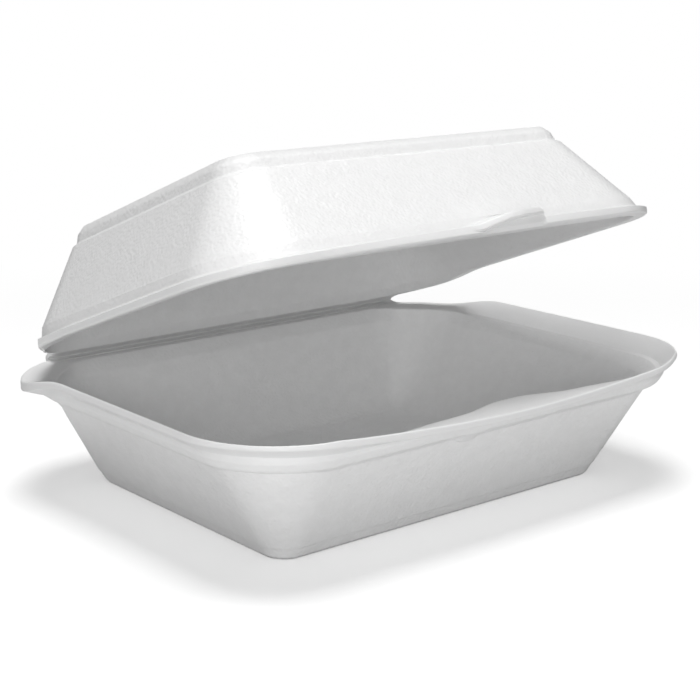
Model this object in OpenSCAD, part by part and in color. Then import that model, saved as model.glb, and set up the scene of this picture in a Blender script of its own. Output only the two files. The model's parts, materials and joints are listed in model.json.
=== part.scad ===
// Foam clamshell take-out container: a tray and a hinged lid thermoformed
// from one foamed sheet, with a living hinge along the back edge.
// X runs along the hinge, Y from the front to the hinge, Z up.
// The origin is at the middle of the underside of the tray.

/* [Footprint] */
// Length along the hinge, over the flared lips
length = 200; // [170:1:260]
// Depth from the front lip to the hinge edge, over the flared lips
depth = 156; // [135:1:220]
// Corner radius of the outer lip, seen from above
corner_r = 34; // [30:0.5:42]
// Thickness of the foamed sheet
sheet_t = 2.4; // [1.6:0.1:3]

/* [Tray] */
// Height from the underside to the top of the flared lip
tray_h = 45.5; // [36:0.5:60]
// Length of the foot
foot_len = 141.5; // [110:0.5:150]
// Depth of the foot
foot_depth = 107; // [80:0.5:112]
// How far the foot sits back from the middle, towards the hinge
foot_shift = 3.5; // [0:0.5:5]
// Corner radius of the foot
foot_r = 8; // [5:0.5:12]
// Height of the set-in stacking foot
foot_h = 4; // [2:0.25:7]
// How far the foot is set in from the wall above it
foot_inset = 0.6; // [0.4:0.1:2]

/* [Rim] */
// Distance from the top of the lip down to the lower edge of the collar
collar_drop = 11.4; // [9:0.1:14]
// How far the wall stands in from the lip, below the collar
collar_in = 9.8; // [8:0.1:12]
// Height of the flared lip above its root
lip_rise = 4.8; // [3.5:0.1:6]
// Run of the flared lip outwards from its root
lip_run = 4.6; // [3.5:0.1:6]
// Thickness of the pressed edge of the lip
lip_t = 1.5; // [1:0.1:2]
// How much further out the lip reaches where it lies flat
flat_reach = 1.6; // [0.5:0.1:2.5]
// How much lower the flat lip lies along the hinge than at the latch
back_drop = 1.8; // [0:0.1:2.2]

/* [Lid] */
// Height of the lid above its own flange
lid_h = 38; // [30:0.5:50]
// Length of the top of the lid
lid_top_len = 142; // [110:1:150]
// Depth of the top of the lid
lid_top_depth = 106; // [84:1:112]
// How far the top of the lid sits back from the middle, towards the hinge
lid_top_shift = 3.5; // [0:0.5:5]
// Corner radius of the top of the lid
lid_top_r = 11; // [6:0.5:14]
// Height of the stepped panel on top of the lid
lid_step_h = 5.5; // [3:0.25:8]
// How far the stepped panel is set in from the wall below it
lid_step_inset = 1.6; // [0.8:0.1:2.5]
// Thickness of the edge of the lid flange
lid_lip_h = 3.2; // [2.6:0.1:3.6]
// Opening of the lid as it stands, from closed
lid_open = 20.2; // [5:0.1:60]

/* [Latch] */
// Width of the latch at the front
latch_w = 30; // [24:1:42]
// How far the latch sits to the right of the middle
latch_shift = 9.5; // [0:0.5:14]
// How far the hood on the lid stands out from the flange
hood_out = 3.2; // [2:0.1:4.5]
// Height of the hood on the lid
hood_h = 6.1; // [4.5:0.1:7]
// Width of the cut tab on the collar
tab_w = 40; // [30:1:50]
// How far the cut tab stands proud of the collar
tab_proud = 0.8; // [0.4:0.1:1.2]

/* [Hinge] */
// Length of the hinge web
hinge_len = 161; // [120:1:164]
// How far the hinge web sits to the right of the middle
hinge_shift = 3.5; // [0:0.5:5]
// Thickness of the hinge web
web_t = 0.8; // [0.5:0.1:1.2]

/* [Hidden] */

half_len = length / 2;
half_dep = depth / 2;
// Running gap where the lid seats in the tray
seat_gap = 0.4;
// Gap between the hinge web and each edge that it joins
web_gap = 0.15;
// Rounding of the lower edge of the foot and of the top edge of the lid
foot_edge = 0.9;
lid_edge = 2.4;
// How far the foot and the stepped panel spread over their own height
foot_spread = 1.8;
panel_spread = 1;
// Rounding between wall and floor inside
floor_fillet = 5;
// How far the latch shelf reaches in beyond the rest of the front lip
shelf_w = 3.8;
// Half the length of the latch shelf, and how much of that eases into the lip
shelf_half = 24;
shelf_ease = 21;
// How far the collar steps out from the wall, and how far it bulges
collar_step = 0.8;
collar_bulge = 1.1;
// Depth of the crease between lip and collar
crease = 0.5;
// Width of the lid flange, from its edge to the wall
lid_flange_w = 4.8;
// Height and stand-out of the faint bead above the lid flange
bead_h = 3.4;
bead_out = 0.35;
// How far the lid flange and the tray lip are cut back at the hinge corners
ear_trim = 4.5;
lip_trim = 0.8;
// How far the straight strips that carry the hinge lie inside the faces around them
land_inset = 0.1;
// Place of the flat lip: its drop from the lip top, its width inwards and its fall
flat_drop = 3.9;
flat_in = 9;
flat_fall = 0.6;

// The lip lies flat at the latch, turns up towards the front corners and
// lies flat again round the back corners, where it meets the hinge
flare_shift = 6.5;
flare_reach_share = 0.75;
flare_power = 1.8;
ear_lead = 16;
ear_run = 17;

// Ring stations: counts on the front, sides, back, front corners and hinge corners
front_n = 26;
side_n = 8;
back_n = 8;
corner_n = 10;
ear_n = 12;
side_power = 1.6;
seg_counts = [front_n, corner_n, side_n, ear_n, back_n, ear_n, side_n, corner_n];
// Stations crowd towards the hinge on the sides, where the lip changes
function crowd(seg, t) = seg == 2 ? 1 - pow(1 - t, side_power) : seg == 6 ? pow(t, side_power) : t;
stations = [
    for (seg = [0 : 7])
        for (k = [0 : seg_counts[seg] - 1])
            [seg, crowd(seg, k / seg_counts[seg])]
];
station_n = len(stations);

// An outline is [half length, front, back, corner radius], seen from above
function lip_outline(out) = [half_len + out, -half_dep - out, half_dep + out, corner_r + out];
function foot_outline(out) = [
    foot_len / 2 + out,
    foot_shift - foot_depth / 2 - out,
    foot_shift + foot_depth / 2 + out,
    foot_r + out
];
function top_outline(out) = [
    lid_top_len / 2 + out,
    lid_top_shift - lid_top_depth / 2 - out,
    lid_top_shift + lid_top_depth / 2 + out,
    lid_top_r + out
];
function mix(a, b, share) = a * (1 - share) + b * share;
function smooth(share) = let (s = min(max(share, 0), 1)) s * s * (3 - 2 * s);

function arc_point(x, y, r, turn) = [x + r * cos(turn), y + r * sin(turn)];

// Place of a station on an outline, counter-clockwise from the front left
function place(o, s) = let (
    r = o[3],
    cx = o[0] - r,
    front = o[1] + r,
    back = o[2] - r,
    t = s[1]
)
    s[0] == 0 ? [mix(-cx, cx, t), o[1]] :
    s[0] == 1 ? arc_point(cx, front, r, -90 + 90 * t) :
    s[0] == 2 ? [o[0], mix(front, back, t)] :
    s[0] == 3 ? arc_point(cx, back, r, 90 * t) :
    s[0] == 4 ? [mix(cx, -cx, t), o[2]] :
    s[0] == 5 ? arc_point(-cx, back, r, 90 + 90 * t) :
    s[0] == 6 ? [-o[0], mix(back, front, t)] :
    arc_point(-cx, front, r, 180 + 90 * t);

// How far a station lies round the hinge corners, where lip and flange drop to the hinge
function fold(s) = let (
    y = place(lip_outline(0), s)[1],
    start = half_dep - corner_r - ear_lead
)
    smooth((y - start) / (ear_lead + ear_run));

// Flare of the lip at a station: 0 lies flat, 1 is turned up in full
function flare(s) = let (
    p = place(lip_outline(0), s),
    from_latch = abs(p[0] - flare_shift) / (half_len * flare_reach_share)
)
    p[1] > 0 ? 1 - fold(s) :
    s[0] == 2 || s[0] == 6 ? 1 :
    min(1, pow(from_latch, flare_power));

// How fully a station lies on the latch shelf
function shelf(s) = s[0] == 0
    ? smooth((shelf_half - abs(place(lip_outline(0), s)[0] - latch_shift)) / shelf_ease)
    : 0;

// How far round a hinge corner a station lies, most at its middle
function ear(s) = s[0] == 3 || s[0] == 5 ? sin(180 * s[1]) : 0;

function ring(o, z) = [for (s = stations) [each place(o, s), z]];
// A ring on an outline of the lip that drops with it towards the hinge
function dropped_ring(out, z) = [
    for (s = stations) [each place(lip_outline(out), s), z - back_drop * fold(s)]
];
// A lip ring moves between a flat and a flared place, each [out, up], drops towards the
// hinge, and may draw in at the latch shelf and at the left and right hinge corners
function lip_ring(flat, flared, z, shelf_in = 0, ear_in = [0, 0]) = [
    for (s = stations)
        let (
            side_in = s[0] == 3 ? ear_in[1] : ear_in[0],
            q = mix(flat, flared, flare(s)) - [shelf_in * shelf(s) + side_in * ear(s), 0]
        )
        [each place(lip_outline(q[0]), s), z + q[1] - back_drop * fold(s)]
];
// A collar ring fades towards the hinge into a cove, at a share of the way down it
function collar_ring(p, share) = [
    for (s = stations)
        let (q = mix(p, cove(share), fold(s)))
        [each place(lip_outline(q[0]), s), tray_h + q[1]]
];

// Middle of a level ring
function middle(r) = [for (i = [0 : 2]) (min([for (p = r) p[i]]) + max([for (p = r) p[i]])) / 2];

// Closed skin over a stack of rings, capped level at its first and last ring
module loft(rings) {
    last = len(rings) - 1;
    first_hub = len(rings) * station_n;
    polyhedron(
        points = [for (r = rings) each r, middle(rings[0]), middle(rings[last])],
        faces = [
            for (j = [0 : station_n - 1])
                let (k = (j + 1) % station_n)
                each [
                    [first_hub, j, k],
                    [first_hub + 1, last * station_n + k, last * station_n + j],
                    for (i = [0 : last - 1]) [
                        i * station_n + j,
                        (i + 1) * station_n + j,
                        (i + 1) * station_n + k,
                        i * station_n + k
                    ]
                ]
        ]
    );
}

// Heights and stand-offs of the rim
collar_z = tray_h - collar_drop;
seat_z = tray_h - flat_drop + seat_gap;
hinge_y = half_dep + flat_reach;
hinge_z = seat_z - seat_gap / 2 - back_drop;
tray_lean = (half_len - collar_in - foot_len / 2 - foot_spread) / (collar_z - foot_h);
tray_skin = sheet_t * sqrt(1 + tray_lean * tray_lean);
lid_wall_in = lip_run + lid_flange_w - lip_t;
lid_lean = (half_len - lid_wall_in - lid_top_len / 2) / (lid_h - lid_step_h);
lid_skin = sheet_t * sqrt(1 + lid_lean * lid_lean);

// Section of the tray lip, as [out, up] from the outline at the lip top
root_flat = [-lip_run, -flat_drop - lip_t];
root_flared = [-lip_run, -lip_rise];
edge_flat = [flat_reach, -flat_drop - lip_t];
edge_flared = [0, -lip_t];
top_flat = [flat_reach, -flat_drop];
top_flared = [-lip_t / 2, 0];
inner_flat = [-flat_in, -flat_drop - flat_fall];
inner_flared = [-lip_run - 2 * lip_t, -lip_rise - lip_t];
collar_top = [-lip_run, -lip_rise - lip_t];
collar_low = [collar_step - collar_in, collar_step - collar_drop];
collar_mid = (collar_top + collar_low) / 2;

// Towards the hinge the lip's underside sweeps into the wall in a cove
cove_start = root_flat - [0, back_drop];
cove_end = [-collar_in, -collar_drop];
cove_bend = [cove_end[0] + tray_lean * (cove_start[1] - cove_end[1]), cove_start[1]];
function cove(share) = mix(mix(cove_start, cove_bend, share), mix(cove_bend, cove_end, share), share);
cove_shares = [0.75, 0.5, 0.25];

module tray_shell() {
    loft([
        ring(foot_outline(-foot_edge), 0),
        ring(foot_outline(0), foot_edge),
        ring(foot_outline(foot_spread), foot_h),
        ring(foot_outline(foot_spread + foot_inset), foot_h + foot_inset),
        ring(lip_outline(-collar_in), collar_z),
        collar_ring(collar_low, cove_shares[0]),
        collar_ring(collar_mid + [1, -0.5] * collar_bulge, cove_shares[1]),
        collar_ring(collar_top, cove_shares[2]),
        lip_ring(root_flat - [crease, 0], root_flared - [crease, 0], tray_h),
        lip_ring(edge_flat, edge_flared, tray_h, ear_in = [lip_trim, lip_trim]),
        lip_ring(top_flat, top_flared, tray_h, ear_in = [lip_trim, lip_trim]),
        lip_ring(inner_flat, inner_flared, tray_h, shelf_in = shelf_w),
        ring(lip_outline(-collar_in - tray_skin), collar_z),
        ring(foot_outline(foot_spread + foot_inset - tray_skin), floor_fillet + sheet_t),
        ring(foot_outline(foot_spread - tray_skin - floor_fillet / 2), sheet_t + floor_fillet / 4),
        ring(foot_outline(foot_spread - tray_skin - floor_fillet), sheet_t)
    ]);
}

// Tab cut into the front collar below the latch shelf, with a ragged lower edge
tab_shares = [
    [-0.5, 0.9], [-0.5, 0.05], [-0.42, -0.12], [-0.3, -0.12], [-0.25, 0.04],
    [-0.05, 0.06], [0.02, 0.12], [0.3, 0.1], [0.42, 0.16], [0.5, 0.3], [0.5, 0.9]
];
collar_run = collar_in - collar_step + collar_top[0];
collar_rise = collar_drop - collar_step + collar_top[1];
collar_slant = sqrt(collar_run * collar_run + collar_rise * collar_rise);

module latch_tab() {
    translate([flare_shift, collar_in - collar_step - half_dep, collar_z + collar_step])
    rotate([90 + atan(collar_run / collar_rise), 0, 0])
    translate([0, 0, -sheet_t / 2])
    linear_extrude(height = sheet_t / 2 + collar_bulge / 2 + tab_proud)
    polygon([for (p = tab_shares) [p[0] * tab_w, p[1] * collar_slant]]);
}

// Strip along the hinge, from a section given as [out, up] from the lip's outline
module hinge_strip(section, z) {
    translate([hinge_shift - hinge_len / 2, half_dep, z])
    rotate([90, 0, 90])
    linear_extrude(height = hinge_len)
    polygon(section);
}

// Land that keeps the tray's edge straight to both ends of the hinge
module tray_land() {
    lip_share = (top_flat[0] - root_flat[0]) / (top_flat[0] - inner_flat[0]);
    hinge_strip([
        root_flat + [0, land_inset],
        edge_flat + [-land_inset, land_inset],
        top_flat - [land_inset, land_inset],
        mix(top_flat, inner_flat, lip_share) - [0, land_inset]
    ], tray_h - back_drop);
}

module base() {
    color("whitesmoke")
    union() {
        tray_shell();
        latch_tab();
        tray_land();
    }
}

// Section of the lid flange, as [out, up] from the outline at the flange's underside;
// its edge rounds in below, and thins above where the tray lip turns up
edge_round = lid_lip_h / 6;
crown_share = 0.75;
under_flat = [-2 * lip_t - seat_gap, 0];
under_flared = [-lip_run - 3 * seat_gap, 0];
rim_flat = [-lip_t, edge_round];
rim_flared = [-lip_run - 2 * seat_gap, edge_round];
crown_flat = [-lip_t - lip_t / 2, lid_lip_h];
crown_flared = [-lip_run, lid_lip_h * crown_share];
// The flange is cut back more on the side that the hinge stays clear of
flange_trim = ear_trim * [1, 1] + hinge_shift / 2 * [1, -1];

module lid_shell() {
    loft([
        ring(top_outline(-lid_skin - floor_fillet), lid_h - sheet_t),
        ring(top_outline(-lid_skin - floor_fillet / 2), lid_h - sheet_t - floor_fillet / 4),
        ring(top_outline(lid_step_inset - lid_skin), lid_h - sheet_t - floor_fillet),
        dropped_ring(-lid_wall_in - lid_skin, lid_lip_h),
        dropped_ring(-lid_wall_in - sheet_t, 0),
        lip_ring(under_flat, under_flared, 0, ear_in = flange_trim),
        lip_ring(rim_flat, rim_flared, 0, ear_in = flange_trim),
        lip_ring(crown_flat, crown_flared, 0, ear_in = flange_trim),
        dropped_ring(-lid_wall_in, lid_lip_h),
        ring(mix(lip_outline(-lid_wall_in), top_outline(lid_step_inset), bead_h / lid_h)
            + [1, -1, 1, 1] * bead_out, lid_lip_h + bead_h),
        ring(mix(lip_outline(-lid_wall_in), top_outline(lid_step_inset), bead_h / lid_h),
            lid_lip_h + bead_h + bead_out),
        ring(top_outline(panel_spread + lid_step_inset), lid_h - lid_step_h - lid_step_inset / 2),
        ring(top_outline(panel_spread), lid_h - lid_step_h),
        ring(top_outline(0), lid_h - lid_edge),
        ring(top_outline(-lid_edge), lid_h)
    ]);
}

// Hood over the latch: its outline from the front and from above, as shares of
// the latch width and of the hood's height and stand-out
hood_front_shares = [
    [-0.5, 0.1], [-0.26, 0.38], [-0.08, 0.52], [0.16, 0.52], [0.4, 0.46], [0.47, 0.52], [0.5, 0.68],
    [0.48, 0.86], [0.42, 0.97], [0.32, 1], [0.16, 1], [-0.08, 0.93], [-0.26, 0.8], [-0.5, 0.69]
];
hood_plan_shares = [
    [-0.5, 0], [-0.36, 0.45], [-0.2, 0.8], [0, 1], [0.34, 1], [0.42, 0.92], [0.48, 0.7], [0.5, 0.4]
];
hood_deep = lid_wall_in + sheet_t - lip_t;

module latch_hood() {
    translate([latch_shift, hood_deep + lip_t - half_dep, 0])
    intersection() {
        rotate([90, 0, 0])
        linear_extrude(height = hood_deep + hood_out)
        polygon([for (p = hood_front_shares) [p[0] * latch_w, p[1] * hood_h]]);
        linear_extrude(height = hood_h)
        polygon([
            each [for (p = hood_plan_shares) [p[0] * latch_w, -hood_deep - p[1] * hood_out]],
            [latch_w / 2, 0],
            [-latch_w / 2, 0]
        ]);
    }
}

// Land that keeps the flange's edge straight to both ends of the hinge
module lid_land() {
    hinge_strip([
        under_flat + [0, land_inset],
        rim_flat - [land_inset, 0],
        crown_flat - [land_inset, land_inset],
        [-lid_wall_in, lid_lip_h - land_inset],
        [-lid_wall_in - sheet_t / 2, land_inset]
    ], -back_drop);
}

module lid() {
    color("white")
    translate([0, hinge_y, hinge_z])
    rotate([-lid_open, 0, 0])
    translate([0, -hinge_y, seat_z - hinge_z])
    union() {
        lid_shell();
        latch_hood();
        lid_land();
    }
}

// Middle of the lid's hinge edge, from the hinge axis, where the lid stands
lid_edge_closed = [-flat_reach + rim_flat[0], seat_gap / 2 + rim_flat[1]];
lid_edge_open = [
    lid_edge_closed[0] * cos(lid_open) + lid_edge_closed[1] * sin(lid_open),
    -lid_edge_closed[0] * sin(lid_open) + lid_edge_closed[1] * cos(lid_open)
];
// Middle line of the web: up behind the tray's edge, then over to the lid's edge
web_half = web_t / 2;
web_low = [web_gap + web_half, -(seat_gap + lip_t) / 2];
web_bend = [web_gap + web_half, web_half];
web_high = lid_edge_open + (web_gap + web_half) * [cos(lid_open), -sin(lid_open)];
web_turn = (web_high - web_bend) / norm(web_high - web_bend);
low_side = [1, 0];
high_side = [web_turn[1], -web_turn[0]];
bend_side = (low_side + high_side) / (1 + low_side * high_side);

module hinge_web() {
    color("gainsboro")
    translate([hinge_shift - hinge_len / 2, hinge_y, hinge_z])
    rotate([90, 0, 90])
    linear_extrude(height = hinge_len)
    polygon([
        web_low - web_half * low_side,
        web_low + web_half * low_side,
        web_bend + web_half * bend_side,
        web_high + web_half * high_side,
        web_high - web_half * high_side,
        web_bend - web_half * bend_side
    ]);
}

base();
lid();
hinge_web();
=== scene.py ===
"""Foam clamshell take-out box: smooth formed shells, hinge web, foam finish and studio stage.

The shells are lofted through rings like those of the solids, with rounded edges, a formed
latch hood and a ragged latch tab. Collar, lip, flange and fold depart from the solids by some
millimetres.
"""

import json
import math

import bpy
import numpy as np
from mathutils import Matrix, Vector


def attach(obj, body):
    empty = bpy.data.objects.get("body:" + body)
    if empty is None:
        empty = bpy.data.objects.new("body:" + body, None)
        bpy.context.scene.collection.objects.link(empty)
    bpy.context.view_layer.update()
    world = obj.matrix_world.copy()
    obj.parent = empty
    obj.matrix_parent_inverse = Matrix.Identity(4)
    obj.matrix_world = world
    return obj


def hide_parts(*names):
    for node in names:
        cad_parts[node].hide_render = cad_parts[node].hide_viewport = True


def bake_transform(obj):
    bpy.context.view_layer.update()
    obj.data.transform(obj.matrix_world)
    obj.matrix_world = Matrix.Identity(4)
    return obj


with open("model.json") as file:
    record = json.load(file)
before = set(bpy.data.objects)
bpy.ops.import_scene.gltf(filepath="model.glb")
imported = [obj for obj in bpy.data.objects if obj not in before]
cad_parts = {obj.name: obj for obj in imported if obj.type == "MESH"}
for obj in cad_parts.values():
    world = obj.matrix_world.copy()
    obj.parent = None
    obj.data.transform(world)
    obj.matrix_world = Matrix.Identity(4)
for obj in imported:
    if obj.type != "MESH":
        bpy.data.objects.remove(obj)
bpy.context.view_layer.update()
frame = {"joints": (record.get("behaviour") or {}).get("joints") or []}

bl_info = {
    "name": "Foam clamshell box",
    "version": (1, 0, 0),
    "blender": (4, 5, 0),
    "location": "View3D > Sidebar > Foam box",
    "description": "Builds a hinged foam take-out box around its packed solids",
    "category": "Add Mesh",
}

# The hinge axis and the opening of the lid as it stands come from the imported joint.
JOINT = frame["joints"][0]
HINGE_Y, HINGE_Z = JOINT["pos_m"][1], JOINT["pos_m"][2]
OPENING = -math.radians(JOINT["range_deg"][0])


def metres(name, words, default):
    """A length property."""
    return bpy.props.FloatProperty(name=name, description=words, default=default, min=0.0,
                                   unit="LENGTH", precision=4)


def share(name, words, default):
    """A property between nothing and all."""
    return bpy.props.FloatProperty(name=name, description=words, default=default, min=0.0, max=1.0,
                                   subtype="FACTOR")


def hex_text(name, words, default):
    """A colour property, written as an sRGB hex value."""
    return bpy.props.StringProperty(name=name, description=words, default=default)


class TraySizes(bpy.types.PropertyGroup):
    length: metres("Length", "Along the hinge, over the flared lips", 0.200)
    depth: metres("Depth", "From the front lip to the hinge edge", 0.156)
    corner: metres("Corner radius", "Of the outer lip, from above", 0.034)
    sheet: metres("Sheet", "Thickness of the foamed sheet", 0.0024)
    height: metres("Height", "From the underside to the top of the lip", 0.0455)
    foot_length: metres("Foot length", "Along the hinge", 0.1415)
    foot_depth: metres("Foot depth", "From front to back", 0.107)
    foot_back: metres("Foot shift", "Towards the hinge", 0.0035)
    foot_corner: metres("Foot corner", "Radius from above", 0.008)
    foot_height: metres("Foot height", "Of the set-in foot", 0.004)
    foot_inset: metres("Foot inset", "In from the wall above it", 0.0006)
    collar_drop: metres("Collar drop", "From the lip top to the collar's lower edge", 0.0130)
    collar_in: metres("Collar inset", "From the lip to the wall below the collar", 0.0107)
    lip_rise: metres("Lip rise", "Height of the flared lip", 0.0048)
    lip_run: metres("Lip run", "Reach of the flared lip", 0.0046)
    lip_thick: metres("Lip edge", "Thickness of the pressed edge", 0.0015)
    lip_full: metres("Lip fullness", "Rounded underside below the pressed edge", 0.0009)
    flat_reach: metres("Flat reach", "Further out where the lip lies flat", 0.0016)
    flat_drop: metres("Flat drop", "Flat lip below the top of the flared lip", 0.0039)
    back_drop: metres("Back drop", "Further down where the lip meets the hinge", 0.0018)
    shelf: metres("Latch shelf", "Further in at the latch", 0.0038)


class LidSizes(bpy.types.PropertyGroup):
    height: metres("Height", "Above its own flange", 0.038)
    top_length: metres("Top length", "Along the hinge", 0.142)
    top_depth: metres("Top depth", "From front to back", 0.106)
    top_back: metres("Top shift", "Towards the hinge", 0.0035)
    top_corner: metres("Top corner", "Radius from above", 0.011)
    step_height: metres("Step height", "Of the stepped panel", 0.0055)
    step_inset: metres("Step inset", "In from the wall below it", 0.0016)
    flange_thick: metres("Flange edge", "Thickness of the flange edge", 0.0032)
    flange_width: metres("Flange width", "From its edge to the wall", 0.0048)
    seat_gap: metres("Seat gap", "Between lid and tray when shut", 0.0004)
    ear_trim: metres("Corner trim", "Flange cut back at the hinge corners", 0.0045)


class LatchSizes(bpy.types.PropertyGroup):
    width: metres("Width", "Of the latch hood", 0.030)
    right: metres("Shift", "To the right of the middle", 0.0095)
    hood_out: metres("Hood reach", "Out from the flange", 0.0032)
    hood_height: metres("Hood height", "Above the flange's underside", 0.0061)
    tab_proud: metres("Tab", "How far the cut tab stands proud of the collar", 0.0005)


class HingeSizes(bpy.types.PropertyGroup):
    length: metres("Length", "Of the hinge web", 0.161)
    right: metres("Shift", "To the right of the middle", 0.0035)
    thick: metres("Thickness", "Of the hinge web", 0.0015)


class FoamLook(bpy.types.PropertyGroup):
    white: hex_text("Foam", "Colour of the foamed sheet", "#F4F4F4")
    shade: hex_text("Foam mottling", "Colour of the slightly denser patches", "#F1F1F1")
    pressed: hex_text("Pressed foam", "Colour where the sheet is pressed thin", "#EFEFEF")
    creased: hex_text("Creased foam", "Colour of the stretch lines at the fold", "#E6E6E6")
    cell: metres("Cell", "Width of the cells that show at the surface", 0.0011)
    rough: share("Roughness", "Of the foam's skin", 0.42)


class StageLook(bpy.types.PropertyGroup):
    floor: hex_text("Floor", "Colour of the floor", "#E0E0E0")
    lift: share("Lift", "Light that the floor adds for the camera", 0.40)
    key: bpy.props.FloatProperty(name="Key", description="Power of the key light", default=7.9, min=0.0,
                                 unit="POWER")
    fill: bpy.props.FloatProperty(name="Fill", description="Power of the fill light", default=3.8, min=0.0,
                                  unit="POWER")
    sky: bpy.props.FloatProperty(name="Sky", description="Strength of the even light", default=0.16, min=0.0)


class BoxSettings(bpy.types.PropertyGroup):
    tray: bpy.props.PointerProperty(type=TraySizes)
    lid: bpy.props.PointerProperty(type=LidSizes)
    latch: bpy.props.PointerProperty(type=LatchSizes)
    hinge: bpy.props.PointerProperty(type=HingeSizes)
    foam: bpy.props.PointerProperty(type=FoamLook)
    stage: bpy.props.PointerProperty(type=StageLook)


def linear(code):
    """An sRGB hex value as a linear colour."""
    parts = [int(code[i:i + 2], 16) / 255 for i in (1, 3, 5)]
    return [c / 12.92 if c <= 0.04045 else ((c + 0.055) / 1.055) ** 2.4 for c in parts] + [1.0]


def add_node(tree, kind, inputs=(), **settings):
    """A node with its settings; each input is a value, or a socket to link from."""
    made = tree.nodes.new(kind)
    for name, value in settings.items():
        setattr(made, name, value)
    for key, value in dict(inputs).items():
        if isinstance(value, bpy.types.NodeSocket):
            tree.links.new(value, made.inputs[key])
        else:
            made.inputs[key].default_value = value
    return made


def mix_colour(tree, factor, first, second):
    """The mix of two colours, each a value or a socket to link from."""
    # These are the places of the colour sockets, which share their names with others on the node.
    mixed = add_node(tree, "ShaderNodeMix", {"Factor": factor, 6: first, 7: second}, data_type="RGBA")
    return mixed.outputs[2]


def smooth(x):
    """Eases from 0 to 1."""
    x = np.clip(x, 0.0, 1.0)
    return x * x * (3 - 2 * x)


def make_track(tray, latch):
    """Stations round a shell: side of the rounded rectangle and place along it, as two arrays.

    They lie close together at the latch and where the lip changes near the hinge.
    """
    reach = tray.length / 2 - tray.corner
    near = latch.width * 0.95
    left, right = latch.right - near, latch.right + near * 0.7
    x = np.concatenate([
        np.linspace(-reach, left, 24, endpoint=False),
        np.linspace(left, right, 100, endpoint=False),
        np.linspace(right, reach, 18, endpoint=False),
    ])
    front = (x + reach) / (2 * reach)
    corner = np.arange(20) / 20
    side = np.arange(26) / 26
    ear = np.arange(30) / 30
    back = np.arange(16) / 16
    # The power by which the stations on the sides crowd towards the hinge.
    crowd = 1.6
    parts = [front, corner, 1 - (1 - side) ** crowd, ear, back, ear, side ** crowd, corner]
    number = np.concatenate([np.full(len(p), k) for k, p in enumerate(parts)])
    return number, np.concatenate(parts)


def outline(track, half, front, back, corner):
    """Points of a rounded rectangle at every station, counter-clockwise from the front left."""
    number, t = track
    mid = half - corner
    turn = np.radians(90 * t)
    far = corner * np.sin(turn)
    near = corner * np.cos(turn)
    cases = [number == k for k in range(8)]
    x = np.select(cases, [mid * (2 * t - 1), mid + far, half + 0 * t, mid + near,
                          mid * (1 - 2 * t), -mid - far, -half + 0 * t, -mid - near])
    low, high = front + corner, back - corner
    y = np.select(cases, [front + 0 * t, low - near, low + (high - low) * t, high + far,
                          back + 0 * t, high + near, high + (low - high) * t, low - far])
    return np.stack([x, y], axis=1)


def ring(points, height):
    """A ring of points at a height, which may change from station to station."""
    return np.column_stack([points, np.broadcast_to(height, len(points))])


def lip_at(track, tray, out):
    """The outline of the tray's lip, moved out."""
    half, deep = tray.length / 2, tray.depth / 2
    return outline(track, half + out, -deep - out, deep + out, tray.corner + out)


def foot_at(track, tray, out):
    """The outline of the tray's foot, moved out."""
    deep = tray.foot_depth / 2 + out
    return outline(track, tray.foot_length / 2 + out, tray.foot_back - deep, tray.foot_back + deep,
                   tray.foot_corner + out)


def top_at(track, lid, out):
    """The outline of the lid's top panel, moved out."""
    deep = lid.top_depth / 2 + out
    return outline(track, lid.top_length / 2 + out, lid.top_back - deep, lid.top_back + deep,
                   lid.top_corner + out)


def fold_of(track, tray):
    """How far a station lies round the back corners, where lip and flange drop to the hinge."""
    y = lip_at(track, tray, 0.0)[:, 1]
    lead, run = 0.016, 0.033
    start = tray.depth / 2 - tray.corner - lead
    return smooth((y - start) / run)


def flare_of(track, tray):
    """Flare of the lip at every station: 0 lies flat, 1 is turned up in full."""
    number = track[0]
    p = lip_at(track, tray, 0.0)
    # At the front the lip lies flat about this place. It rises by this power over a share of the half length.
    flat_x, flat_share, rise = 0.0065, 0.75, 1.8
    away = np.abs(p[:, 0] - flat_x) / (tray.length / 2 * flat_share)
    front = np.minimum(1.0, away ** rise)
    on_side = (number == 2) | (number == 6)
    return np.where(p[:, 1] > 0, 1 - fold_of(track, tray), np.where(on_side, 1.0, front))


def ear_of(track, skew=1.0):
    """How far round a hinge corner a station lies, most at its middle or, with a skew, nearer the side."""
    number, t = track
    from_back = np.where(number == 3, 1 - t, t)
    return np.where((number == 3) | (number == 5), np.sin(np.pi * from_back ** skew), 0.0)


def between(flare, flat, flared):
    """Moves a section point from its flat to its flared place, as out and up."""
    return (flat[0] * (1 - flare) + flared[0] * flare, flat[1] * (1 - flare) + flared[1] * flare)


def rounded(rings, radii, steps=3):
    """Rounds the corners of every section; each inner ring has its own radius.

    Returns the finer rings, and for each the number of the ring that it came from.
    """
    # A round takes between these shares of the shorter run beside it, and a guard ring stands just past it.
    least, most, guard = 0.02, 0.38, 1.25
    made = [rings[0]]
    rows = [0]
    for i in range(1, len(rings) - 1):
        p = rings[i]
        u, v = rings[i - 1] - p, rings[i + 1] - p
        u_len = np.linalg.norm(u, axis=1, keepdims=True) + 1e-9
        v_len = np.linalg.norm(v, axis=1, keepdims=True) + 1e-9
        u, v = u / u_len, v / v_len
        half = np.arccos(np.clip((u * v).sum(axis=1, keepdims=True), -1, 1)) / 2
        reach = np.clip(radii[i] / np.tan(half), least * np.minimum(u_len, v_len), None)
        reach = np.minimum(reach, most * np.minimum(u_len, v_len))
        a, b = p + u * reach, p + v * reach
        made.append(p + u * reach * guard)
        for t in np.linspace(0, 1, steps + 1):
            made.append((1 - t) ** 2 * a + 2 * t * (1 - t) * p + t * t * b)
        made.append(p + v * reach * guard)
        rows += [i] * (steps + 3)
    made.append(rings[-1])
    rows.append(len(rings) - 1)
    return made, rows


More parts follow.
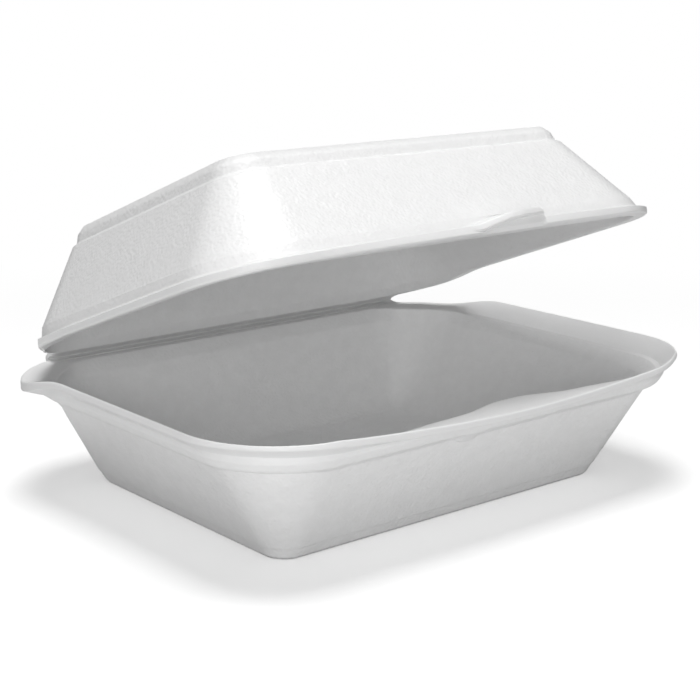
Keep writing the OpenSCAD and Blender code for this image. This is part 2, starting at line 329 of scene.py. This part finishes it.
def loft(name, rings, radii, pressed):
    """A closed shell over rounded rings, with a value per ring for how far the foam is pressed."""
    made, rows = rounded(rings, radii)
    # One more ring just inside each end keeps the shading of the flat caps even.
    keep, pull = 0.97, 0.03
    first = [made[0] * keep + made[0].mean(axis=0) * pull]
    final = [made[-1] * keep + made[-1].mean(axis=0) * pull]
    made = first + made + final
    rows = [rows[0]] + rows + [rows[-1]]
    count = len(made[0])
    points = np.concatenate(made + [made[0].mean(axis=0)[None], made[-1].mean(axis=0)[None]])
    j = np.arange(count)
    k = (j + 1) % count
    # The stations run counter-clockwise, so in this order the faces of both shells point outwards.
    faces = []
    for i in range(len(made) - 1):
        low, high = i * count, (i + 1) * count
        faces += np.stack([low + j, low + k, high + k, high + j], axis=1).tolist()
    last = len(made) * count
    faces += np.stack([np.full(count, last), k, j], axis=1).tolist()
    faces += np.stack([np.full(count, last + 1), last - count + j, last - count + k], axis=1).tolist()
    mesh = bpy.data.meshes.new(name)
    mesh.from_pydata(points.tolist(), [], faces)
    mesh.polygons.foreach_set("use_smooth", [True] * len(mesh.polygons))
    value = np.concatenate([np.repeat([pressed[r] for r in rows], count), [0.0, 0.0]])
    mesh.attributes.new("pressed", "FLOAT", "POINT").data.foreach_set("value", value.astype(np.float32))
    mesh.validate()
    mesh.update()
    piece = bpy.data.objects.new(name, mesh)
    bpy.context.scene.collection.objects.link(piece)
    return piece


def tray_rings(tray, latch):
    """Rings of the tray from the underside over the lip to the floor inside."""
    track = make_track(tray, latch)
    number, t = track
    flare = flare_of(track, tray)
    fold = fold_of(track, tray)
    sag = fold * tray.back_drop
    thick, drop, h = tray.lip_thick, tray.flat_drop, tray.height
    x, y = lip_at(track, tray, 0.0).T
    at_front = number == 0
    collar = h - tray.collar_drop
    step, bulge = 0.0008, 0.0011
    # Round the front corners the lip's underside is drawn thinner and the collar is less deep.
    at_corner = np.where((number == 1) | (number == 7), np.sin(np.pi * t), 0.0)
    back_fuller, corner_thinner, corner_lift = 1.2, 0.9, 0.0012
    full = tray.lip_full * (1 + back_fuller * fold - corner_thinner * at_corner)
    spread = 0.0018
    lean = (tray.length / 2 - tray.collar_in - tray.foot_length / 2 - spread) / (collar - tray.foot_height)
    skin = tray.sheet * math.sqrt(1 + lean * lean)
    # The cut tab at the latch hangs below the collar in a ragged line and stands a little proud.
    tab_x = [-0.0155, -0.0142, -0.0118, -0.0088, -0.0065, -0.0046,
             0.0, 0.0200, 0.0240, 0.0258, 0.0275, 0.0300]
    tab_hang = [0.0, 0.0009, 0.0016, 0.0015, 0.0006, -0.0001,
                0.0003, 0.0001, 0.0004, -0.0008, -0.0001, 0.0]
    tab_left, tab_right, tab_ease = -0.0155, 0.0270, 0.0012
    hang = np.where(at_front, np.interp(x, tab_x, tab_hang), -corner_lift * at_corner)
    on_tab = smooth((x - tab_left) / tab_ease) * smooth((tab_right - x) / tab_ease)
    proud = np.where(at_front, on_tab * latch.tab_proud, 0.0)
    shelf_half, shelf_ease = 0.024, 0.021
    on_shelf = smooth((shelf_half - np.abs(x - latch.right)) / shelf_ease)
    shelf = np.where(at_front, on_shelf * tray.shelf, 0.0)
    ear_cut = 0.0008
    trim = ear_of(track) * ear_cut
    root = between(flare, (-tray.lip_run, -drop - thick - full), (-tray.lip_run, -tray.lip_rise - full))
    edge = between(flare, (tray.flat_reach, -drop - thick - full), (0.0, -thick - full))
    top = between(flare, (tray.flat_reach, -drop), (-thick / 2, 0.0))
    # A narrow step marks where the lip turns up from the wall inside. The flat lip is less wide along the
    # hinge and wider at the ears.
    back_run, flat_width, back_less, ear_more = 0.004, 0.009, 0.0025, 0.003
    back = smooth((y - tray.depth / 2 + back_run) / back_run)
    flat_in = -flat_width + back_less * back - ear_more * ear_of(track)
    turn = between(flare, (flat_in + 0.0008, -drop - 0.0004), (-0.0056, -0.0062))
    inner = between(flare, (flat_in, -drop - 0.0006), (-0.0074, -0.0066))
    collar_top = (0.0003 - tray.lip_run, -tray.lip_rise - thick - tray.lip_full)
    middle = ((collar_top[0] + step - tray.collar_in) / 2, (collar_top[1] + step - tray.collar_drop) / 2)
    # Towards the hinge the stepped collar fades, and the lip's underside sweeps into the wall in a cove.
    under = -drop - thick - (1 + back_fuller) * tray.lip_full - tray.back_drop
    deep = 0.0035
    cove = [(0.0, under), (-tray.collar_in + lean * (under + tray.collar_drop), under),
            (-tray.collar_in - lean * deep, -tray.collar_drop - deep)]

    def faded(plain, s):
        """A collar point, moved to its place on the cove as far as the station lies round the back."""
        curve = [(1 - s) ** 2 * a + 2 * s * (1 - s) * b + s * s * c for a, b, c in zip(*cove)]
        out, up = (p * (1 - fold) + q * fold for p, q in zip(plain, curve))
        return ring(lip_at(track, tray, out), h + up)

    fillet, ledge = 0.005, 0.0025
    wall_low = ring(foot_at(track, tray, spread + tray.foot_inset), tray.foot_height + tray.foot_inset)
    wall_high = ring(lip_at(track, tray, -tray.collar_in), collar)
    # A ring three quarters up the wall keeps the tab's bump out of the wall below it.
    low_share, high_share = 0.24, 0.76
    rings = [
        ring(foot_at(track, tray, -0.0009), 0.0),
        ring(foot_at(track, tray, 0.0), 0.0009),
        ring(foot_at(track, tray, spread), tray.foot_height),
        wall_low,
        wall_low * low_share + wall_high * high_share,
        faded((-tray.collar_in - lean * hang, -tray.collar_drop - hang), 0.95),
        faded((step - tray.collar_in + proud, step - tray.collar_drop - hang), 0.75),
        faded((middle[0] + bulge + proud * 0.6, middle[1] - bulge / 2), 0.5),
        faded(collar_top, 0.3),
        faded(root, 0.1),
        ring(lip_at(track, tray, edge[0] - trim), h + edge[1] - sag),
        ring(lip_at(track, tray, top[0] - trim), h + top[1] - sag),
        ring(lip_at(track, tray, turn[0] - shelf), h + turn[1] - sag),
        ring(lip_at(track, tray, inner[0] - shelf), h + inner[1] - sag),
        ring(lip_at(track, tray, -tray.collar_in - skin + lean * ledge), collar + ledge),
        ring(foot_at(track, tray, spread + tray.foot_inset - skin), fillet + tray.sheet),
        ring(foot_at(track, tray, spread - skin - fillet / 2), tray.sheet + fillet / 4),
        ring(foot_at(track, tray, spread - skin - fillet), tray.sheet),
    ]
    radii = [0, 0.0012, 0.0016, 0.0016, 0.0010, 0.0004, 0.0007, 0.0028, 0.0010,
             0.0004, 0.0006, 0.0006, 0.0004, 0.0006, 0.003, 0.006, 0.005, 0]
    pressed = [0, 0, 0, 0, 0, 0, 0.2, 0.3, 0.6, 0.9, 1, 1, 0.8, 0.3, 0, 0, 0, 0]
    return rings, radii, pressed


def lid_rings(tray, lid, latch, hinge):
    """Rings of the shut lid from the ceiling inside over the flange to the stepped top."""
    track = make_track(tray, latch)
    flare = flare_of(track, tray)
    thick, gap = tray.lip_thick, lid.seat_gap
    seat = tray.height - tray.flat_drop + gap
    edge_h = lid.flange_thick
    wall_in = tray.lip_run + lid.flange_width - thick
    lean = (tray.length / 2 - wall_in - lid.top_length / 2) / (lid.height - lid.step_height)
    skin = tray.sheet * math.sqrt(1 + lean * lean)
    fillet, spread, edge_r = 0.005, 0.001, 0.0024
    number = track[0]
    side = np.where(number == 3, -1, 1)
    trim = ear_of(track, skew=1.4) * (lid.ear_trim + side * hinge.right / 2)
    # The flange's inner edge lies this much further out along the hinge.
    back_out = 0.0028
    fold = fold_of(track, tray)
    sag = fold * tray.back_drop
    under = between(flare, (-2 * thick - gap, 0.0), (-tray.lip_run - 2.5 * gap, 0.0))
    rim = between(flare, (-thick, edge_h / 6), (-tray.lip_run - gap, edge_h / 6))
    crown = between(flare, (-1.5 * thick, edge_h), (-tray.lip_run - gap / 2, edge_h * 0.75))
    # The hood lifts the flange edge over the latch: a tongue with a round right end.
    x = lip_at(track, tray, 0.0)[:, 0]
    s = (x - latch.right) / latch.width
    on_hood = smooth((s + 0.62) / 0.3) * smooth((0.53 - s) / 0.065) * (number == 0)
    low = np.interp(s, [-0.5, -0.26, -0.08, 0.16, 0.4, 0.5],
                    [0.1, 0.36, 0.51, 0.58, 0.63, 0.66]) * latch.hood_height
    recess = np.interp(s, [-0.1, 0.35], [0.0009, 0.0001])
    high = np.interp(s, [-0.5, -0.26, -0.08, 0.16, 0.32, 0.42, 0.48, 0.5],
                     [0.54, 0.74, 0.91, 1.0, 1.0, 0.97, 0.86, 0.7]) * latch.hood_height
    out = np.interp(s, [-0.5, -0.36, -0.2, -0.05, 0.1, 0.3, 0.42, 0.48, 0.5],
                    [0.0, 0.25, 0.65, 0.95, 0.95, 0.68, 0.48, 0.3, 0.15]) * latch.hood_out

    def hooded(plain, lifted):
        """A flange point, moved to its place on the hood where the station lies at the latch."""
        return [p * (1 - on_hood) + q * on_hood for p, q in zip(plain, lifted)]

    third = [(2 * a + b) / 3 for a, b in zip(rim, crown)]
    two_thirds = [(a + 2 * b) / 3 for a, b in zip(rim, crown)]
    rim_h = hooded(rim, (rim[0] - 0.0004, np.minimum(0.0012, low / 2)))
    root_h = hooded(third, (rim[0] - recess, np.maximum(low - 0.0002, 0.0004)))
    brow_h = hooded(two_thirds, (rim[0] + out, low))
    crown_h = hooded(crown, (rim[0] + out - 0.0006, high - 0.0001))
    wall_h = hooded((-wall_in, edge_h), (-wall_in - (high - edge_h) * lean, high + 0.0003))
    # A small bead runs round the foot of the wall.
    bead_h, bead_out = 0.0034, 0.00035
    share_up = bead_h / lid.height
    wall_low = lip_at(track, tray, -wall_in)
    wall_high = top_at(track, lid, lid.step_inset)
    bead = wall_low * (1 - share_up) + wall_high * share_up
    away = bead - bead.mean(axis=0)
    bead_far = bead + away / np.linalg.norm(away, axis=1, keepdims=True) * bead_out
    h = lid.height
    rings = [
        ring(top_at(track, lid, -skin - fillet), h - tray.sheet),
        ring(top_at(track, lid, -skin - fillet / 2), h - tray.sheet - fillet / 4),
        ring(top_at(track, lid, lid.step_inset - skin), h - tray.sheet - fillet),
        ring(lip_at(track, tray, -wall_in - skin), edge_h - sag),
        ring(lip_at(track, tray, -wall_in - tray.sheet + back_out * fold), -sag),
        ring(lip_at(track, tray, under[0] - trim), under[1] - sag),
        ring(lip_at(track, tray, rim_h[0] - trim), rim_h[1] - sag),
        ring(lip_at(track, tray, root_h[0] - trim), root_h[1] - sag),
        ring(lip_at(track, tray, brow_h[0] - trim), brow_h[1] - sag),
        ring(lip_at(track, tray, crown_h[0] - trim), crown_h[1] - sag),
        ring(lip_at(track, tray, wall_h[0]), wall_h[1] - sag),
        ring(bead_far, edge_h + bead_h),
        ring(bead, edge_h + bead_h + bead_out),
        ring(top_at(track, lid, spread + lid.step_inset), h - lid.step_height - lid.step_inset / 2),
        ring(top_at(track, lid, spread), h - lid.step_height),
        ring(top_at(track, lid, 0.0), h - edge_r),
        ring(top_at(track, lid, -edge_r), h),
    ]
    radii = [0, 0.005, 0.006, 0.003, 0.0012, 0.0007, 0.0007, 0.0004, 0.0006,
             0.0008, 0.0012, 0.0008, 0.0008, 0.0010, 0.0010, 0.0022, 0]
    pressed = [0, 0, 0, 0, 0.4, 0.9, 1, 0.8, 0.6, 0.8, 0.4, 0.2, 0.1, 0.1, 0.1, 0, 0]
    for r in rings:
        r[:, 2] += seat
    return rings, radii, pressed


def opened(points):
    """Turns shut-lid points about the hinge axis to where the lid stands."""
    y, z = points[:, 1] - HINGE_Y, points[:, 2] - HINGE_Z
    c, s = math.cos(OPENING), math.sin(OPENING)
    return np.column_stack([points[:, 0], HINGE_Y + y * c + z * s, HINGE_Z - y * s + z * c])


def foam_material(look):
    """Thermoformed foamed polystyrene sheet: white, satin skin, fine closed cells.

    The skin is smooth with a soft sheen; the cells under it show as a fine grain, and
    the sheet is slightly mottled where it was stretched. Pressed edges lose most of the grain.
    """
    name = "foamed_polystyrene_sheet"
    if name in bpy.data.materials:
        return bpy.data.materials[name]
    material = bpy.data.materials.new(name)
    material.use_nodes = True
    tree = material.node_tree
    tree.nodes.clear()
    where = add_node(tree, "ShaderNodeTexCoord").outputs["Object"]
    press = add_node(tree, "ShaderNodeAttribute", attribute_name="pressed").outputs["Fac"]
    cells = add_node(tree, "ShaderNodeTexVoronoi", {
        "Vector": where, "Scale": 1 / look.cell, "Randomness": 1.0}, feature="SMOOTH_F1")
    # Clumps of cells a few millimetres wide, left by the stretching of the hot sheet.
    clumps = add_node(tree, "ShaderNodeTexNoise", {"Vector": where, "Scale": 1 / 0.0045, "Detail": 3.0})
    # Slow waves of the formed wall, about 35 mm long.
    waves = add_node(tree, "ShaderNodeTexNoise", {"Vector": where, "Scale": 1 / 0.035, "Detail": 1.0})
    tint = add_node(tree, "ShaderNodeMapRange", {
        "Value": clumps.outputs["Fac"], "From Min": 0.35, "From Max": 0.65})
    plain = mix_colour(tree, tint.outputs["Result"], linear(look.shade), linear(look.white))
    colour = mix_colour(tree, press, plain, linear(look.pressed))
    keep = add_node(tree, "ShaderNodeMath", {0: 1.0, 1: press}, operation="SUBTRACT", use_clamp=True)
    grain = add_node(tree, "ShaderNodeMath", {0: keep.outputs[0], 1: 0.55, 2: 0.1}, operation="MULTIPLY_ADD")
    wave_bump = add_node(tree, "ShaderNodeBump", {"Strength": 0.15, "Distance": 0.0012,
                                                  "Height": waves.outputs["Fac"]})
    clump_bump = add_node(tree, "ShaderNodeBump", {"Strength": 0.3, "Distance": 0.0002,
                                                   "Height": clumps.outputs["Fac"],
                                                   "Normal": wave_bump.outputs["Normal"]})
    cell_bump = add_node(tree, "ShaderNodeBump", {"Strength": grain.outputs[0], "Distance": 0.0003,
                                                  "Height": cells.outputs["Distance"],
                                                  "Normal": clump_bump.outputs["Normal"]})
    shader = add_node(tree, "ShaderNodeBsdfPrincipled", {
        "Base Color": colour, "Roughness": look.rough, "IOR": 1.5,
        "Subsurface Weight": 0.12, "Subsurface Radius": (1.0, 1.0, 1.0), "Subsurface Scale": 0.0015,
        "Normal": cell_bump.outputs["Normal"],
    })
    out = add_node(tree, "ShaderNodeOutputMaterial")
    tree.links.new(shader.outputs["BSDF"], out.inputs["Surface"])
    return material


def web_material(look):
    """The same sheet pressed thin at the fold: denser, smoother and a little grey."""
    material = bpy.data.materials.new("pressed_polystyrene_fold")
    material.use_nodes = True
    tree = material.node_tree
    tree.nodes.clear()
    where = add_node(tree, "ShaderNodeTexCoord").outputs["Object"]
    # Stretch lines along the fold, about 0.6 mm apart.
    lines = add_node(tree, "ShaderNodeMapping", {"Vector": where, "Scale": (60.0, 1600.0, 1600.0)})
    grain = add_node(tree, "ShaderNodeTexNoise", {
        "Vector": lines.outputs["Vector"], "Scale": 1.0, "Detail": 2.0}).outputs["Fac"]
    tint = mix_colour(tree, grain, linear(look.creased), linear(look.pressed))
    bump = add_node(tree, "ShaderNodeBump", {"Strength": 0.4, "Distance": 0.0001, "Height": grain})
    shader = add_node(tree, "ShaderNodeBsdfPrincipled", {
        "Base Color": tint, "Roughness": 0.5, "IOR": 1.5, "Normal": bump.outputs["Normal"],
        "Subsurface Weight": 0.3, "Subsurface Radius": (1.0, 1.0, 1.0), "Subsurface Scale": 0.0015,
    })
    out = add_node(tree, "ShaderNodeOutputMaterial")
    tree.links.new(shader.outputs["BSDF"], out.inputs["Surface"])
    return material


class FOAMBOX_OT_tray(bpy.types.Operator):
    """Builds the tray shell with its lip, collar, latch shelf and tab"""
    bl_idname = "foambox.tray"
    bl_label = "Tray"

    def execute(self, context):
        box = context.scene.foam_box
        piece = loft("tray_shell", *tray_rings(box.tray, box.latch))
        piece.data.materials.append(foam_material(box.foam))
        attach(piece, "tray")
        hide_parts("base")
        return {"FINISHED"}


class FOAMBOX_OT_lid(bpy.types.Operator):
    """Builds the lid shell with its stepped top, flange and latch hood"""
    bl_idname = "foambox.lid"
    bl_label = "Lid"

    def execute(self, context):
        box = context.scene.foam_box
        rings, radii, pressed = lid_rings(box.tray, box.lid, box.latch, box.hinge)
        piece = loft("lid_shell", [opened(r) for r in rings], radii, pressed)
        piece.data.materials.append(foam_material(box.foam))
        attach(piece, "cover")
        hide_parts("lid")
        return {"FINISHED"}


def sweep_tree(name, material):
    """Geometry nodes that sweep a thin rectangle along a bent line: the fold between tray and lid."""
    tree = bpy.data.node_groups.new(name, "GeometryNodeTree")
    tree.interface.new_socket("Geometry", in_out="OUTPUT", socket_type="NodeSocketGeometry")
    for label, kind in (("In tray", "NodeSocketVector"), ("Off tray", "NodeSocketVector"),
                        ("Off lid", "NodeSocketVector"), ("In lid", "NodeSocketVector"),
                        ("Length", "NodeSocketFloat"), ("Thickness", "NodeSocketFloat")):
        tree.interface.new_socket(label, in_out="INPUT", socket_type=kind)
    given = add_node(tree, "NodeGroupInput").outputs
    path = add_node(tree, "GeometryNodeCurvePrimitiveBezierSegment", {
        "Resolution": 24, "Start": given["In tray"], "Start Handle": given["Off tray"],
        "End Handle": given["Off lid"], "End": given["In lid"]}, mode="POSITION")
    strip = add_node(tree, "GeometryNodeCurvePrimitiveQuadrilateral", {
        "Width": given["Length"], "Height": given["Thickness"]}, mode="RECTANGLE")
    dense = add_node(tree, "GeometryNodeResampleCurve", {"Curve": strip.outputs["Curve"], "Count": 240})
    swept = add_node(tree, "GeometryNodeCurveToMesh", {
        "Curve": path.outputs["Curve"], "Profile Curve": dense.outputs["Curve"], "Fill Caps": True})
    real = add_node(tree, "GeometryNodeRealizeInstances", {"Geometry": swept.outputs["Mesh"]})
    painted = add_node(tree, "GeometryNodeSetMaterial", {
        "Geometry": real.outputs["Geometry"], "Material": material})
    out = add_node(tree, "NodeGroupOutput")
    tree.links.new(painted.outputs["Geometry"], out.inputs["Geometry"])
    return tree


class FOAMBOX_OT_hinge(bpy.types.Operator):
    """Builds the hinge web that bends between tray and lid"""
    bl_idname = "foambox.hinge"
    bl_label = "Hinge web"

    def execute(self, context):
        box = context.scene.foam_box
        tray, lid, hinge = box.tray, box.lid, box.hinge
        lip_top = tray.height - tray.flat_drop - tray.back_drop
        middle = lip_top - tray.lip_thick / 2
        # How deep the fold's ends sit in lip and flange, how far it stands out behind the hinge axis,
        # and how high it lies in the flange.
        lip_grip, flange_grip, stand_out, lie = 0.005, 0.0085, 0.0004, 0.0010
        in_flange = lip_top + lid.seat_gap + lie
        shut = np.array([[hinge.right, HINGE_Y + out, in_flange] for out in (stand_out, -flange_grip)])
        off_lid, in_lid = opened(shut)
        tree = sweep_tree("hinge_sweep", web_material(box.foam))
        holder = bpy.data.objects.new("hinge_holder", bpy.data.meshes.new("hinge_holder"))
        context.scene.collection.objects.link(holder)
        modifier = holder.modifiers.new("Sweep", "NODES")
        modifier.node_group = tree
        wanted = {"In tray": Vector((hinge.right, HINGE_Y - lip_grip, middle)),
                  "Off tray": Vector((hinge.right, HINGE_Y + stand_out, middle)),
                  "Off lid": Vector(off_lid), "In lid": Vector(in_lid),
                  "Length": hinge.length, "Thickness": hinge.thick}
        for socket in tree.interface.items_tree:
            if socket.in_out == "INPUT":
                modifier[socket.identifier] = wanted[socket.name]
        context.view_layer.update()
        mesh = bpy.data.meshes.new_from_object(holder.evaluated_get(context.evaluated_depsgraph_get()))
        bpy.data.objects.remove(holder)
        mesh.name = "hinge_fold"
        piece = bpy.data.objects.new("hinge_fold", mesh)
        context.scene.collection.objects.link(piece)
        if not mesh.polygons:
            raise RuntimeError("the hinge web came out empty")
        mesh.polygons.foreach_set("use_smooth", [True] * len(mesh.polygons))
        mesh.set_sharp_from_angle(angle=math.radians(50))
        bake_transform(piece)
        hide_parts("hinge_web")
        return {"FINISHED"}


class FOAMBOX_OT_stage(bpy.types.Operator):
    """Sets the floor, the soft light and the camera"""
    bl_idname = "foambox.stage"
    bl_label = "Stage"

    def execute(self, context):
        scene = context.scene
        look = scene.foam_box.stage
        scene.view_settings.view_transform = "Standard"

        mesh = bpy.data.meshes.new("floor")
        far = 6.0
        corners = [(-far, -far, 0), (far, -far, 0), (far, far, 0), (-far, far, 0)]
        mesh.from_pydata(corners, [], [(0, 1, 2, 3)])
        floor = bpy.data.objects.new("floor", mesh)
        # A hair below the tray's underside, so that the two faces do not fall together.
        floor.location.z = -0.0002
        scene.collection.objects.link(floor)
        paint = bpy.data.materials.new("matt_studio_floor")
        paint.use_nodes = True
        tree = paint.node_tree
        tree.nodes.clear()
        path = add_node(tree, "ShaderNodeLightPath").outputs
        # The floor fades into the white backdrop, and lifts a little for the camera.
        matt = add_node(tree, "ShaderNodeBsdfDiffuse", {"Color": linear(look.floor)})
        white = add_node(tree, "ShaderNodeEmission", {"Color": (1, 1, 1, 1), "Strength": 1.0})
        lift = add_node(tree, "ShaderNodeEmission", {"Color": (1, 1, 1, 1), "Strength": look.lift})
        lit = add_node(tree, "ShaderNodeAddShader", {0: matt.outputs[0], 1: lift.outputs[0]})
        where = add_node(tree, "ShaderNodeTexCoord").outputs["Object"]
        away = add_node(tree, "ShaderNodeVectorMath", {0: where}, operation="LENGTH")
        fade = add_node(tree, "ShaderNodeMapRange", {"Value": away.outputs["Value"], "From Min": 0.18,
                                                     "From Max": 0.45}, interpolation_type="SMOOTHSTEP")
        seen = add_node(tree, "ShaderNodeMixShader", {0: fade.outputs["Result"], 1: lit.outputs[0],
                                                      2: white.outputs[0]})
        pick = add_node(tree, "ShaderNodeMixShader", {0: path["Is Camera Ray"], 1: matt.outputs[0],
                                                      2: seen.outputs[0]})
        out = add_node(tree, "ShaderNodeOutputMaterial")
        tree.links.new(pick.outputs[0], out.inputs["Surface"])
        mesh.materials.append(paint)

        world = bpy.data.worlds.new("studio")
        scene.world = world
        world.use_nodes = True
        tree = world.node_tree
        tree.nodes.clear()
        even = add_node(tree, "ShaderNodeBackground", {"Color": (1, 1, 1, 1), "Strength": look.sky})
        white = add_node(tree, "ShaderNodeBackground", {"Color": (1, 1, 1, 1), "Strength": 1.0})
        seen = add_node(tree, "ShaderNodeLightPath").outputs["Is Camera Ray"]
        pick = add_node(tree, "ShaderNodeMixShader", {0: seen, 1: even.outputs[0], 2: white.outputs[0]})
        out = add_node(tree, "ShaderNodeOutputWorld")
        tree.links.new(pick.outputs[0], out.inputs["Surface"])

        aim = Vector((0.0, 0.0, 0.05))
        for name, side, power in (("key", Vector((0.0, 0.0, 1.0)), look.key),
                                  ("fill", Vector((-0.6, -0.73, 0.2)), look.fill)):
            data = bpy.data.lights.new(name, "AREA")
            data.size = 0.5
            data.energy = power
            lamp = bpy.data.objects.new(name, data)
            lamp.location = aim + side.normalized()
            lamp.rotation_euler = (-side).to_track_quat("-Z", "Y").to_euler()
            scene.collection.objects.link(lamp)

        data = bpy.data.cameras.new("camera")
        data.sensor_width = 36.0
        data.lens = 80.76
        data.clip_start = 0.01
        camera = bpy.data.objects.new("camera", data)
        camera.location = (-0.3371, -0.4071, 0.1757)
        camera.rotation_euler = (math.radians(76.23), 0.0, math.radians(-39.45))
        scene.collection.objects.link(camera)
        scene.camera = camera
        return {"FINISHED"}


class FOAMBOX_PT_panel(bpy.types.Panel):
    """Lists the pieces and their settings"""
    bl_label = "Foam box"
    bl_idname = "FOAMBOX_PT_panel"
    bl_space_type = "VIEW_3D"
    bl_region_type = "UI"
    bl_category = "Foam box"

    def draw(self, context):
        for kind in PIECES:
            self.layout.operator(kind.bl_idname)
        box = context.scene.foam_box
        for group in ("tray", "lid", "latch", "hinge", "foam", "stage"):
            column = self.layout.column(align=True)
            column.label(text=group.capitalize())
            settings = getattr(box, group)
            for name in settings.__annotations__:
                column.prop(settings, name)


PIECES = (FOAMBOX_OT_tray, FOAMBOX_OT_lid, FOAMBOX_OT_hinge, FOAMBOX_OT_stage)
CLASSES = (TraySizes, LidSizes, LatchSizes, HingeSizes, FoamLook, StageLook, BoxSettings,
           *PIECES, FOAMBOX_PT_panel)


def register():
    for kind in CLASSES:
        bpy.utils.register_class(kind)
    bpy.types.Scene.foam_box = bpy.props.PointerProperty(type=BoxSettings)


def unregister():
    del bpy.types.Scene.foam_box
    for kind in reversed(CLASSES):
        bpy.utils.unregister_class(kind)


def main():
    """Registers the add-on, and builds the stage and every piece."""
    register()
    bpy.ops.foambox.stage()
    bpy.ops.foambox.tray()
    bpy.ops.foambox.lid()
    bpy.ops.foambox.hinge()


if __name__ == "__main__":
    main()
